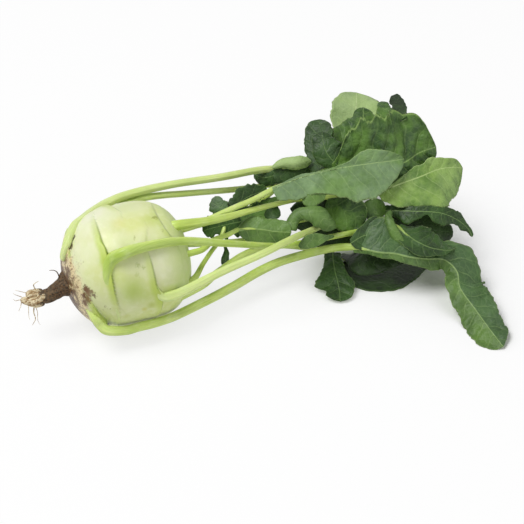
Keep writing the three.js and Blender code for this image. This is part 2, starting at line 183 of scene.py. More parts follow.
def smooth(low, high, value):
    """0 below low, 1 above high, and an even slope between."""
    t = min(max((value - low) / (high - low), 0.0), 1.0)
    return t * t * (3 - 2 * t)


def catmull(points, u):
    """The point at u (0 to 1) on the smooth curve through evenly spaced control points."""
    place = min(max(u, 0.0), 1.0) * (len(points) - 1)
    k = min(int(place), len(points) - 2)
    s = place - k
    b, c = points[k], points[k + 1]
    a = points[k - 1] if k else b * 2 - c
    d = points[k + 2] if k + 2 < len(points) else c * 2 - b
    v0, v1 = (c - a) * 0.5, (d - b) * 0.5
    return (b - c) * (2 * s**3) + (c - b) * (3 * s**2) + v0 * (s**3 - 2 * s**2 + s) + v1 * (s**3 - s**2) + b


def walk(points, steps, fine_steps=400):
    """Even steps along the smooth curve through the points, and the curve's length."""
    fine = [catmull(points, i / fine_steps) for i in range(fine_steps + 1)]
    reach = [0.0]
    for one, two in zip(fine, fine[1:]):
        reach.append(reach[-1] + (two - one).length)
    path, k = [], 0
    for i in range(steps + 1):
        goal = reach[-1] * i / steps
        while k < fine_steps - 1 and reach[k + 1] < goal:
            k += 1
        path.append(fine[k].lerp(fine[k + 1], (goal - reach[k]) / (reach[k + 1] - reach[k])))
    return path, reach[-1]


def grow_skin(name, along, around, place, finishes, nodes, which=lambda u, v: 0):
    """A closed skin. A grid is wrapped round so that its two long edges meet, and both its ends are
    drawn to a point. place(u, v) gives, in mm, where a spot of the grid goes, its place on the
    unrolled skin, and up to three tints for its material. which(u, v) picks one of the finishes."""
    skin = bmesh.new()
    bmesh.ops.create_grid(skin, x_segments=along, y_segments=around, size=0.5)
    flat = skin.loops.layers.uv.new("skin")
    tint = skin.verts.layers.float_vector.new("tint")
    for face in skin.faces:
        face.smooth = True
        middle = face.calc_center_median()
        face.material_index = which(middle.x + 0.5, middle.y + 0.5)
    spread = {}
    for vertex in skin.verts:
        vertex.co, spread[vertex], vertex[tint] = place(vertex.co.x + 0.5, vertex.co.y + 0.5)
    for face in skin.faces:
        for loop in face.loops:
            loop[flat].uv = Vector(spread[loop.vert]) * MM
    bmesh.ops.scale(skin, vec=(MM, MM, MM), verts=skin.verts)
    bmesh.ops.remove_doubles(skin, verts=skin.verts, dist=1e-6)
    bmesh.ops.recalc_face_normals(skin, faces=skin.faces)
    piece = bpy.data.objects.new(name, bpy.data.meshes.new(name))
    skin.to_mesh(piece.data)
    skin.free()
    for finish in finishes:
        piece.data.materials.append(finish)
    scene.collection.objects.link(piece)
    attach(piece, "root")
    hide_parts(*nodes)
    return piece


def on_bulb(x, turn):
    """A spot on the bulb's plain skin: x mm along the axis, turn degrees from the top to the front.
    The crown end is blunt and the root end slightly drawn out."""
    if x > WIDEST:
        r = BULB_RADIUS * max(1 - ((x - WIDEST) / CROWN_LENGTH) ** 2.5, 0) ** 0.4
    else:
        r = BULB_RADIUS * max(1 - ((WIDEST - x) / ROOT_LENGTH) ** 3, 0) ** 0.48
    a = math.radians(turn)
    return Vector((x, -math.sin(a) * r, AXIS_HEIGHT + math.cos(a) * r))


# Leaf-base ridges: the spots that each one passes, in mm along the axis and degrees round it, with
# its height there in mm. The skin rises to the ridge on the root's side and drops on the crown's.
# The spots weren't chosen by hand: a scratch program read them off the photo.
RIDGES = [
    [(-14, -34, 0.3), (-17.4, -5, 0.8), (-18.2, 10, 1.2), (-18.6, 22, 1.6), (-17.6, 34, 2.2),
     (-17.8, 45, 2.2), (-18.2, 60, 1.9), (-18, 77, 1.4), (-16.8, 92, 0.9), (-16, 112, 0.4)],
    [(13, 20, 0.3), (8.4, 36, 0.7), (8.4, 52, 1.1), (8.8, 66, 1.3), (9.4, 78, 1.8), (12, 86, 2.0),
     (12, 100, 1.2), (10, 118, 0.5)],
    [(-38, 62, 0.4), (-34.5, 82, 1.0), (-32, 90, 1.4), (-28.8, 104, 2.0), (-25, 116, 2.2),
     (-24, 132, 2.2), (-26, 152, 1.2), (-28, 172, 0.5)],
    [(-40, 40, 0.4), (-38.7, 19, 1.2), (-37.2, 0, 2.0), (-34, -20, 2.2), (-33, -38, 2.2),
     (-34, -56, 1.4), (-36, -76, 0.5)],
    [(24, -22, 0.3), (22.2, 2, 0.7), (23.4, 18, 0.9), (26, 30, 0.9), (29.7, 42, 0.6), (31, 56, 0.2)],
    [(-2, -62, 0.4), (-5, -46, 1.2), (-5, -34, 1.8), (-3, -22, 1.2), (0, -6, 0.3)],
    [(-8, 165, 0.4), (-12, 190, 1.4), (-13, 210, 1.8), (-11, 232, 1.2), (-6, 252, 0.4)],
    [(10, 210, 0.4), (8, 235, 1.2), (8, 255, 1.6), (10, 275, 1.0), (14, 292, 0.3)],
]
RIDGE_STEPS = 40
RIDGE_REACH = 16
ridge_lines = []
for ridge in RIDGES:
    heights = [h for x, turn, h in ridge]
    spots = [on_bulb(x, turn) for x, turn, h in ridge]
    line, rise = [], []
    for i in range(RIDGE_STEPS + 1):
        line.append(catmull(spots, i / RIDGE_STEPS))
        along = i / RIDGE_STEPS * (len(heights) - 1)
        k = min(int(along), len(heights) - 2)
        rise.append(heights[k] + (heights[k + 1] - heights[k]) * (along - k))
    ridge_lines.append((line, rise))


def ridge_relief(spot):
    """How far the leaf bases lift the skin at a spot, how near it is to a crest, and to a crease."""
    lift, crest, crease = 0.0, 0.0, 0.0
    for line, rise in ridge_lines:
        k = min(range(len(line)), key=lambda i: (line[i] - spot).length_squared)
        gap = (line[k] - spot).length
        if gap > RIDGE_REACH:
            continue
        height = rise[k]
        if spot.x < line[k].x:
            lift = max(lift, height * (1 - smooth(0, 13, gap)))
            crest = max(crest, height / 2 * (1 - smooth(1.2, 7.5, gap)))
        else:
            lift = max(lift, height * (1 - smooth(0, 1.6, gap)))
            lift -= 0.5 * height * smooth(0, 1.5, gap) * (1 - smooth(1.5, 9, gap))
            crest = max(crest, height / 2 * (1 - smooth(0.4, 2.0, gap)))
            crease = max(crease, height / 2 * smooth(0, 0.8, gap) * (1 - smooth(0.8, 2.4, gap)))
    return lift, crest, crease


def place_bulb(u, v):
    """How the bulb's skin is placed: round the axis, swollen a little unevenly, and raised at its ridges.
    It is pressed flat where the bulb rests."""
    x = WIDEST - ROOT_LENGTH + (ROOT_LENGTH + CROWN_LENGTH) * (0.5 - 0.5 * math.cos(math.pi * u))
    turn = 360 * v
    spot = on_bulb(x, turn)
    out = Vector((0, spot.y, spot.z - AXIS_HEIGHT))
    radius = out.length
    if radius < 1e-6:
        return Vector((x, 0, AXIS_HEIGHT)), (x, 0), (0, 0, 0)
    out.normalize()
    lift, crest, crease = ridge_relief(spot)
    swell = 0.5 * noise.noise(spot / 22) + 0.2 * noise.noise(spot / 7)
    spot += out * ((lift + swell) * smooth(2, 16, radius))
    spot.z = max(spot.z, 0.0)
    return spot, (x, math.radians(turn) * radius), (crest, crease, 0)


# Patches where the rind is paler, greener or yellower, then marks: scars, soil smears, specks and painted
# shadow.
# Each has its mm along the axis, degrees round it, half width in mm, strength and colour. Many of their
# places were read off the photo by a scratch program too.
PATCHES = [
    (-20, -12, 26, 0.6, 0xEBEDD6), (-29, 30, 15, 0.5, 0xE8ECCC), (-4, 62, 24, 0.35, 0xC9D18C),
    (-27, 74, 18, 0.4, 0xC8D090), (-6, 76, 15, 0.75, 0xA9BF4E), (4, 84, 9, 0.4, 0xB4C75C),
    (-14, 62, 9, 0.3, 0xB9CB6A), (-3, 8, 8, 0.45, 0xDCD888), (6, 14, 15, 0.55, 0xD6DD84),
    (17, 12, 9, 0.5, 0xB5C452), (4, -16, 18, 0.6, 0xC9D68C), (-2, 34, 12, 0.35, 0xC4D27A),
    (-19, 42, 7, 0.8, 0xA5C13C), (11, 92, 8, 0.7, 0xB7CC4C), (5, 95, 4.5, 0.6, 0xA9B93E),
    (0, 99, 3, 0.6, 0xC0C23E), (-12, 105, 4, 0.4, 0xB4BE4E), (-37, 60, 6, 0.5, 0xE3D6A0),
    (10, 200, 16, 0.6, 0xB4C75C), (-12, 230, 12, 0.5, 0xC9D684), (20, 290, 14, 0.5, 0xBFD06E),
]
MARKS_AND_SHADOWS = [
    # The first three marks, dark beside the feet of the first and tenth stalks, are dark soil and painted
    # shadow in the gaps under those stalks.
    (-33.6, -8, 3.6, 0.95, 0x2E2413), (-36.2, -1, 3.6, 0.95, 0x4A3219), (-23, 127, 3.2, 0.9, 0x3A2E16),
    (-31.5, 72, 3.2, 0.8, 0x6E4E2A), (-34, 84, 3.8, 0.9, 0x6E4E2A), (-30, 76, 2.2, 0.8, 0x5A3D20),
    (20.5, 10, 2.4, 0.7, 0x8F9A3A), (22.9, 25, 1.6, 0.6, 0x8E9148), (3, 28, 1.4, 0.5, 0x9CA04E),
    (0.1, 53, 2.2, 0.45, 0x9CAF4C), (3.6, 56, 2.0, 0.45, 0x9CAF4C), (-1.8, 61, 2.2, 0.3, 0xA6B756),
    (-31.7, 35, 1.2, 0.6, 0xA39A62), (-42, 17, 1.8, 0.8, 0x6B4A2A), (-39.4, 51, 1.8, 0.9, 0x5A3C20),
    (-34.1, 69, 4.0, 1.0, 0x6E4E2A), (-33.4, 75, 3.0, 0.9, 0x7B5A34), (-35.7, 79, 3.0, 1.0, 0x644423),
    (-35.6, 91, 3.8, 1.0, 0x6E4E2A), (-29.7, 93, 1.0, 0.7, 0x6F6236), (-24.8, 89, 0.9, 0.8, 0x6F6236),
    (-22, 92, 1.0, 0.8, 0x5C5228), (-22.9, 78, 0.9, 0.6, 0x8A8A4A), (-26, 96, 0.8, 0.7, 0x6F6236),
]
# Cloudy patterns of the rind: mm across a cloud, detail and roughness.
RIND_CLOUDS = {
    "wide": (34, 2, 0.5), "fine": (4, 4, 0.5), "edge": (7, 4, 0.5), "specks": (1.5, 5, 0.7),
    "smears": (5.5, 5, 0.6), "crumbs": (1.5, 4, 0.7), "pores": (1.2, 3, 0.5),
}


def start_skin(name):
    """A new finish for a skin, with its node tree, the places on the skin that its patterns can follow
    and the skin's three tints."""
    finish, tree = start_finish(name)
    tints = add_node(tree, "ShaderNodeAttribute", {"attribute_name": "tint"})
    tints = add_node(tree, "ShaderNodeSeparateXYZ", None, {0: tints.outputs["Vector"]})
    return finish, tree, add_node(tree, "ShaderNodeTexCoord").outputs, list(tints.outputs)


def lay_over(tree, under, over, *fields, strongest=1.0, weakest=0.0):
    """One colour laid over another, each a hex value or the output of a node. The upper one's share is
    the product of its fields. A field is the output of a node, or one with its values where the share
    is nothing and full, and the last such field goes from weakest to strongest instead."""
    shares = []
    for field in fields:
        if isinstance(field, tuple):
            bottom, top = (weakest, strongest) if field is fields[-1] else (0.0, 1.0)
            field = add_node(tree, "ShaderNodeMapRange",
                             {"interpolation_type": "SMOOTHSTEP", "From Min": field[1],
                              "From Max": field[2], "To Min": bottom, "To Max": top},
                             {"Value": field[0]}).outputs[0]
        shares.append(field)
    while len(shares) > 1:
        shares[:2] = [add_node(tree, "ShaderNodeMath", {"operation": "MULTIPLY"},
                               {0: shares[0], 1: shares[1]}).outputs[0]]
    settings, links = {"data_type": "RGBA"}, {0: shares[0]}
    for socket, colour in ((6, under), (7, over)):
        if isinstance(colour, int):
            settings[socket] = linear(colour)
        else:
            links[socket] = colour
    return add_node(tree, "ShaderNodeMix", settings, links).outputs[2]


def end_skin(tree, colour, height, strength, depth, body):
    """The end of a finish: its colour on a body with the settings given, and a relief depth mm deep."""
    relief = add_node(tree, "ShaderNodeBump", {"Strength": strength, "Distance": depth * MM},
                      {"Height": height})
    surface = add_node(tree, "ShaderNodeBsdfPrincipled", body,
                       {"Base Color": colour, "Normal": relief.outputs[0]})
    add_node(tree, "ShaderNodeOutputMaterial", None, {"Surface": surface.outputs[0]})


# Waxy rind: living skin with a thin bloom, so it is satin and pale, and a little light gets into it.
# Its tints are its crests and its creases; painted shade darkens the creases.
waxy_rind, tree, coords, (crests, creases, _) = start_skin("waxy_green_rind")
coords = coords["Object"]
parts = add_node(tree, "ShaderNodeSeparateXYZ", None, {0: coords})
clouds = {}
for name, (size, detail, rough) in RIND_CLOUDS.items():
    clouds[name] = add_node(tree, "ShaderNodeTexNoise",
                            {"Scale": 1 / (size * MM), "Detail": detail, "Roughness": rough},
                            {"Vector": coords}).outputs["Fac"]

rind = lay_over(tree, 0xE2E5BE, 0xD5DC99, (clouds["wide"], 0.35, 0.68))
# It is darker underneath, partly duller skin and partly painted shade, and greener towards the crown.
for axis, start, end, side_colour in (("Z", 78, 20, 0xC2CD7C), ("X", 5, 42, 0xD0E486)):
    side = add_node(tree, "ShaderNodeMapRange",
                    {"interpolation_type": "SMOOTHSTEP", "From Min": start * MM, "From Max": end * MM},
                    {"Value": parts.outputs[axis]}).outputs[0]
    rind = lay_over(tree, rind, side_colour, (side, 0, 1), strongest=0.6)
rind = lay_over(tree, rind, 0xEFF0D4, (clouds["fine"], 0.42, 0.7), strongest=0.22)
for x, turn, size, strength, colour in PATCHES:
    gap = add_node(tree, "ShaderNodeVectorMath", {"operation": "DISTANCE", 1: on_bulb(x, turn) * MM},
                   {0: coords}).outputs["Value"]
    rind = lay_over(tree, rind, colour, (gap, size * MM, 0.0), strongest=strength)
rind = lay_over(tree, rind, 0xB4C850, (crests, 0.1, 0.9), strongest=0.85)
# Painted shade darkens the creases on the crown's side of each ridge.
rind = lay_over(tree, rind, 0x84993E, (creases, 0.1, 1.0), strongest=0.6)

# The corky cream collar at the root end has a torn edge, which lies further up the bulb's lower side.
# Specks and smears of dried soil thin out from it over the rind.
EDGE_DEPTH = 10 * MM
torn = add_node(tree, "ShaderNodeMath", {"operation": "MULTIPLY_ADD", 1: EDGE_DEPTH},
                {0: clouds["edge"], 2: parts.outputs["X"]}).outputs[0]
lower = add_node(tree, "ShaderNodeMapRange",
                 {"interpolation_type": "SMOOTHSTEP", "From Min": 66 * MM, "From Max": 16 * MM,
                  "To Min": 0, "To Max": -4.2 * MM}, {"Value": parts.outputs["Z"]}).outputs[0]
torn = add_node(tree, "ShaderNodeMath", {"operation": "ADD"}, {0: torn, 1: lower}).outputs[0]
rind = lay_over(tree, rind, 0xE0CFA0, (torn, -30.5 * MM, -34.5 * MM))
rind = lay_over(tree, rind, 0x7A5430, (clouds["specks"], 0.52, 0.60), (torn, -28 * MM, -37 * MM),
                strongest=0.95)
rind = lay_over(tree, rind, 0x5A3D22, (clouds["smears"], 0.465, 0.54), (torn, -32.5 * MM, -38 * MM),
                strongest=0.9)
caked_soil = lay_over(tree, 0x35220F, 0x7B5B38, (clouds["crumbs"], 0.42, 0.58))
rind = lay_over(tree, rind, caked_soil, (torn, -37.4 * MM, -38.8 * MM))

# The marks are ragged, because their places are shaken by up to about 3 mm.
SHAKE = 5.6 * MM
shake = add_node(tree, "ShaderNodeTexNoise", {"Scale": 1 / (1.5 * MM), "Detail": 3}, {"Vector": coords})
shake = add_node(tree, "ShaderNodeVectorMath",
                 {"operation": "MULTIPLY_ADD", 1: (SHAKE,) * 3, 2: (-SHAKE / 2,) * 3},
                 {0: shake.outputs["Color"]}).outputs[0]
shaken = add_node(tree, "ShaderNodeVectorMath", {"operation": "ADD"}, {0: coords, 1: shake}).outputs[0]
for x, turn, size, strength, colour in MARKS_AND_SHADOWS:
    gap = add_node(tree, "ShaderNodeVectorMath", {"operation": "DISTANCE", 1: on_bulb(x, turn) * MM},
                   {0: shaken}).outputs["Value"]
    rind = lay_over(tree, rind, colour, (gap, size * MM, size * 0.4 * MM), strongest=strength)
end_skin(tree, rind, clouds["pores"], 0.25, 0.3,
         {"Roughness": 0.42, "IOR": 1.45, "Subsurface Weight": 0.15,
          "Subsurface Radius": (0.7, 1.0, 0.35), "Subsurface Scale": 4 * MM})

grow_skin("bulb_skin", 240, 280, place_bulb, [waxy_rind], ["bulb"])


# ---- Root ----
# The taproot: a woody neck that flares into the bulb, torn off below into two short ends with fine
# rootlets. It is brown and rough, and still caked with dry soil.
def steady_frames(path):
    """Two directions across a path at each of its points, which turn as little as they can."""
    frames = []
    across = None
    for i in range(len(path)):
        ahead = (path[min(i + 1, len(path) - 1)] - path[max(i - 1, 0)]).normalized()
        if across is None:
            across = ahead.cross(Vector((0, 0, 1)))
            if across.length < 0.1:
                across = ahead.cross(Vector((0, 1, 0)))
        across = (across - ahead * across.dot(ahead)).normalized()
        frames.append((across, across.cross(ahead)))
    return frames


def along_list(values, u):
    """A value at u (0 to 1) on the smooth curve through an evenly spaced list."""
    return catmull([Vector((v, 0, 0)) for v in values], u).x


def limb_place(points, thick, shape, steps, pale=lambda u: 0):
    """How a skin is placed round a path: shape(u, a, length) scales its half thickness at u of the
    path and at the angle a round it, and pale(u) is how pale its colour is there."""
    path, length = walk([Vector(p) for p in points], steps)
    frames = steady_frames(path)

    def place(u, v):
        k = round(u * steps)
        across, up = frames[k]
        a = 2 * math.pi * v
        r = max(along_list(thick, u), 0.05)
        cap = min(r, length * 0.3)
        to_end = min(u, 1 - u) * length
        r *= math.sqrt(max(1 - (1 - min(to_end / cap, 1)) ** 2, 0))
        spot = path[k] + (across * math.cos(a) + up * math.sin(a)) * (r * shape(u, a, length))
        return spot, (u * length, a * r), (u, (1 + math.sin(a)) / 2, pale(u))

    return place


def bark_shape(rough, seed):
    """Bark twisted into ropes about 30 mm long, with crumbs of 3.5 mm on them."""
    def shape(u, a, length):
        round_it = Vector((math.cos(a), math.sin(a), 0))
        ropes = noise.noise(round_it * 1.6 + Vector((seed, 0, u * length / 30)))
        crumbs = noise.noise(round_it * 3 + Vector((0, seed, u * length / 3.5)))
        return 1 + rough * (0.8 * ropes + 0.7 * crumbs)
    return shape


# Root bark under dry soil: a tan, fibrous wood, with dull dark crumbs that hide it towards the bulb.
soiled_bark, tree = start_finish("soiled_root_bark")
coords = add_node(tree, "ShaderNodeTexCoord").outputs["Object"]
parts = add_node(tree, "ShaderNodeSeparateXYZ", None, {0: coords})
stretched = add_node(tree, "ShaderNodeMapping", {"Scale": (0.25, 1, 1)}, {"Vector": coords}).outputs[0]
clouds = {}
for name, where, size, detail, rough in (("fibres", stretched, 1.4, 4, 0.6), ("clumps", coords, 5, 5, 0.6),
                                         ("crumbs", coords, 1.5, 5, 0.7), ("grit", coords, 1.6, 5, 0.7)):
    clouds[name] = add_node(tree, "ShaderNodeTexNoise",
                            {"Scale": 1 / (size * MM), "Detail": detail, "Roughness": rough},
                            {"Vector": where}).outputs["Fac"]
wood = lay_over(tree, 0x9A7B52, 0xEBDDB8, (clouds["fibres"], 0.38, 0.62))
soil = lay_over(tree, 0x24160A, 0x5F4326, (clouds["crumbs"], 0.42, 0.6))
ragged_x = add_node(tree, "ShaderNodeMath", {"operation": "MULTIPLY_ADD", 1: 30 * MM},
                    {0: clouds["clumps"], 2: parts.outputs["X"]}).outputs[0]
caked = add_node(tree, "ShaderNodeMapRange",
                 {"interpolation_type": "SMOOTHSTEP", "From Min": -49 * MM, "From Max": -44 * MM},
                 {"Value": ragged_x}).outputs[0]
bark = lay_over(tree, wood, soil, (caked, 0, 1), strongest=0.93, weakest=0.06)
end_skin(tree, bark, clouds["grit"], 0.8, 0.8, {"Roughness": 0.88})


def grow_limb(name, node, points, thick, rough, seed, along, around):
    """A piece of root through its points, with its half thickness along them. rough is the roughness of
    its bark, which seed varies, and along and around are the cells of its grid."""
    grow_skin(name, along, around, limb_place(points, thick, bark_shape(rough, seed), along),
              [soiled_bark], [node])


grow_limb("taproot_bark", "taproot",
          [(-36, -1, 38), (-43, -3, 37), (-50, -4, 35), (-55, -5, 34), (-59, -5, 34), (-63, -4, 33)],
          [19, 10, 6.4, 5.4, 4.8, 4], rough=0.16, seed=3, along=90, around=96)
FIBRES = [
    [(-72, 1, 31), (-75, 1, 31), (-77, 0, 32), (-78.5, 0, 34)],
    [(-73, 0, 31), (-74.5, -3, 29), (-76, -5, 28), (-77, -7, 28)],
    [(-68, 1, 35), (-72, 3, 36), (-75, 3, 38), (-76, 4, 38)],
    [(-69, -3, 31), (-70, -6, 28), (-71, -9, 24), (-71, -11, 22)],
    [(-66, -5, 30), (-65, -9, 26), (-66, -12, 21), (-65, -14, 18)],
    [(-72, 2, 32), (-74, 4, 32), (-76, 5, 33), (-77, 7, 33)],
]
for number, points in enumerate(FIBRES, 1):
    grow_limb(f"root_fibre_{number}", "root_limb", points, [0.32, 0.22, 0.16, 0.08],
              rough=0.2, seed=number, along=30, around=8)
grow_limb("root_limb_bark", "root_limb", [(-59, -6, 33), (-64, -5, 31), (-69, -2, 31), (-73.5, 1, 31)],
          [4.2, 3.6, 3.0, 2.0], rough=0.2, seed=9, along=50, around=40)
grow_limb("root_stub_bark", "root_stub", [(-58, -2, 34), (-62, -1, 34), (-66, -1, 35), (-69.5, 1, 35)],
          [4.4, 3.8, 3.2, 2.6], rough=0.24, seed=14, along=40, around=40)
ROOTLETS = [
    [(-62, 0, 35), (-63, 0, 38), (-63.5, 0, 42), (-60, -1, 45)],
    [(-46, -2, 42), (-47, -1, 48), (-49, 0, 50), (-52, 1, 50)],
    [(-65, -4, 30), (-67, -6, 24), (-67, -9, 20), (-70, -11, 17)],
]
for number, points in enumerate(ROOTLETS, 1):
    grow_limb(f"rootlet_{number}_hair", f"rootlet_{number}", points, [0.55, 0.4, 0.28, 0.15],
              rough=0.2, seed=5, along=40, around=10)


# ---- The leaves ----
# Their points and widths repeat STALKS and BLADES in part.mjs. Scratch programs worked out nearly all
# of the points and nearly half of the widths, from places picked and edges traced on the photo, and
# wrote the calls below with the points under into and the shifted start of the first stalk. So these
# tables aren't made by hand.


# ---- Leaf 1 ----
# The back leaf: a long stalk over the top of the bulb, a pale blade that shows its back, and three
# small lobes low down. A stalk is fleshy and round with a shallow groove; a blade is a thin sheet.
STALK_CELL = 1.2
WIDTH_STEPS = 60


def grow_stalk(number, points, thick, out_of=(), into=(), pale=0.0):
    """A leaf stalk through its points. thick lists its half thickness from the bulb to the blade. It swells
    out of the bulb's skin along out_of and thins out into the midrib along into. pale is how pale its skin is
    near the bulb: its own colour, and on the first and sixth stalks partly a painted highlight."""
    def shape(u, a, length):
        groove = 0.2 * math.exp(-(math.remainder(a - math.pi / 2, 2 * math.pi) / 0.55) ** 2)
        ribs = 0.025 * math.cos(7 * a) + 0.03 * noise.noise(Vector((a, number, u * length / 18)))
        return 1 - groove + ribs

    def run(spots):
        return sum((Vector(b) - Vector(a)).length for a, b in zip(spots, spots[1:]))

    foot, stem = run([*out_of, points[0]]), run(points)
    points = [*out_of, *points, *into]
    length = run(points)
    steps = max(40, round(length / STALK_CELL))
    widths = []
    for k in range(WIDTH_STEPS + 1):
        d = length * k / WIDTH_STEPS
        swell = 0.12 + 0.88 * (d / foot) ** 1.8 if d < foot else 1 - 0.85 * smooth(foot + stem - 2, length, d)
        widths.append(along_list(thick, min(max((d - foot) / stem, 0), 1)) * swell)

    def paleness(u):
        return max(pale * (1 - 0.6 * u), 0.65 * (1 - smooth(0.2 * foot, 1.1 * foot + 0.1, u * length)))

    grow_skin(f"leaf_stalk_{number}", steps, 32, limb_place(points, widths, shape, steps, paleness),
              [waxy_stalk], [f"stalk_{number}"])


# Stalk skin: smooth and fleshy, pale under a thin bloom near the bulb and greener near the blade, with fine
# lengthwise fibres; painted shade darkens its underside. Its tints are the place along it, its upper side,
# which sets the painted shade, and its paleness.
waxy_stalk, tree, coords, (along, upper, paleness) = start_skin("waxy_leaf_stalk")
drawn_out = add_node(tree, "ShaderNodeMapping", {"Scale": (0.06, 1, 1)}, {"Vector": coords["UV"]})
clouds = {}
for name, where, size, detail in (("fibres", drawn_out.outputs[0], 0.9, 3),
                                  ("bands", coords["Object"], 22, 2), ("bloom", coords["Object"], 6, 4)):
    clouds[name] = add_node(tree, "ShaderNodeTexNoise", {"Scale": 1 / (size * MM), "Detail": detail},
                            {"Vector": where}).outputs["Fac"]
stalk = lay_over(tree, 0xBDD362, 0xD0E280, (clouds["bands"], 0.35, 0.65))
stalk = lay_over(tree, stalk, 0x93B03E, (clouds["fibres"], 0.35, 0.7), strongest=0.4)
# Painted shade darkens the underside.
stalk = lay_over(tree, stalk, 0x86A838, (upper, 0.3, 0.0), strongest=0.4)
stalk = lay_over(tree, stalk, 0x9AB851, (along, 0.5, 1.0), strongest=0.5)
stalk = lay_over(tree, stalk, 0x86A254, (along, 0.92, 1.0), strongest=0.9)
# Paler near the bulb: the skin's own colour, and on the first and sixth stalks partly a painted highlight.
stalk = lay_over(tree, stalk, 0xDCE7A8, paleness)
stalk = lay_over(tree, stalk, 0xE4EBC4, (clouds["bloom"], 0.5, 0.75), strongest=0.2)
end_skin(tree, stalk, clouds["fibres"], 0.35, 0.3,
         {"Roughness": 0.38, "IOR": 1.42, "Subsurface Weight": 0.12,
          "Subsurface Radius": (0.7, 1.0, 0.3), "Subsurface Scale": 3 * MM})

# A blade's grid, its thickness, and the mm from one to the next of what shapes its margin and face.
CELL = 0.9
SHEET = 0.5
TEETH = 7
NOTCHES = 5.5
WAVES = 12
FRILLS = 4.5
PUCKERS = 4


def grow_blade(node, midrib, face, near, far, finishes, bend=(0, 0), far_bend=None,
               quilt=0.5, ruffle=1.8, ragged=0.07, rib=0, vein_gap=9.0, seed=0):
    """A leaf blade or lobe. midrib is its path from the stalk to the tip and face the way its upper
    side looks. near and far list its width either side of the midrib, near being to the right of
    someone who walks to the tip. finishes are those of the upper side, the back and, if there is a
    third, the near half of the upper side. A bend is a fold at the midrib and a curl beyond, in
    degrees, and far_bend is the far side's where it differs. quilt, ruffle and rib are the heights in
    mm of its puffed fields, its waves and its midrib, ragged how far its margin is torn, vein_gap the
    mm from vein to vein, and seed varies them all."""
    points = [Vector(p) for p in midrib]
    rough_length = sum((b - a).length for a, b in zip(points, points[1:]))
    steps = max(20, round(rough_length / CELL))
    path, length = walk(points, steps)
    across = 4 * max(8, round(max(near + far) / CELL / 2))
    look = Vector(face).normalized()
    frames = []
    for k in range(steps + 1):
        ahead = (path[min(k + 1, steps)] - path[max(k - 1, 0)]).normalized()
        up = (look - ahead * look.dot(ahead)).normalized()
        frames.append((ahead.cross(up), up))
    cap = min(0.16, 0.7 * (near[-1] + far[-1]) / 2 / length + 0.02)

    def place(u, v):
        # Round the blade: its top from the near margin to the far one, then its back the other way.
        k = round(u * steps)
        top = v <= 0.5
        s = 1 - 4 * v if top else 4 * v - 3
        hand = 1 if s >= 0 else -1
        s = abs(s)
        widths, (fold, curl) = (near, bend) if hand > 0 else (far, far_bend or bend)
        x = u * length

        # The margin, drawn in at the base and the tip, with teeth and notches.
        base = math.sqrt(max(1 - (1 - min(x / 1.5, 1)) ** 2, 0))
        tip = math.sqrt(max(1 - max((u - 1 + cap) / cap, 0) ** 2, 0))
        width = max(along_list(widths, u), 0.4)
        tooth = noise.noise(Vector((x / TEETH, hand * 3.3, seed)))
        notch = (x / NOTCHES + 2 * noise.noise(Vector((x / 9, hand * 7.7, seed)))) % 1
        width *= (1 + ragged * (1.4 * tooth + 0.7 * abs(2 * notch - 1) ** 0.7 - 0.35)) * tip * base
        y = s * width

        # The fold and curl.
        fold = math.radians(fold)
        curl = math.radians(curl) + 1e-4
        angle = fold + curl * s
        side, up = frames[k]
        out = up * math.cos(angle) - side * (hand * math.sin(angle))

        # The fields puffed up between the veins, the ruffled margin, the rib and the thickness.
        wander = 0.35 * noise.noise(Vector((x / 13, y / 11 * hand, seed + 5)))
        vein = (x - 0.75 * y + 0.006 * y * y) / vein_gap + wander + (0.25 + 0.25 * hand * smooth(0, 1.5, y))
        puff = 1 - abs(2 * (vein - math.floor(vein)) - 1) ** 2
        open_field = smooth(0.8, 5, y) * (1 - 0.4 * s)
        pucker = noise.noise(Vector((x / PUCKERS, hand * y / PUCKERS, seed)))
        lift = quilt * (open_field * (puff - 0.6) + 0.5 * pucker)
        lift += ruffle * s**2 * noise.noise(Vector((x / WAVES, hand * 2.2, seed + 9)))
        lift += 0.45 * ruffle * s**3 * noise.noise(Vector((x / FRILLS, hand * 4.1, seed + 2)))
        lift *= min(width / 6, 1)
        taper = 1 - 0.8 * u
        ridge = rib * taper * math.exp(-(y / (0.2 + rib * (0.35 + taper * 0.6))) ** 2)
        thick = SHEET / 2 * math.sqrt(max(1 - s**6, 0))
        lift += (0.35 * ridge + thick) if top else -(0.9 * ridge + thick)

        spot = path[k] + side * (hand * width * (math.sin(angle) - math.sin(fold)) / curl)
        spot += up * (width * (math.cos(fold) - math.cos(angle)) / curl) + out * lift * base * tip
        spot.z = max(spot.z, 0.1 + 2 * thick if top else 0.1)
        return spot, (x, hand * y), (vein, s, rib * (0.8 - 0.55 * u))

    def which(u, v):
        if v > 0.5:
            return 1
        return 2 if v < 0.25 and len(finishes) > 2 else 0

    grow_skin(f"leaf_{node}", steps, across, place, finishes, [node], which)


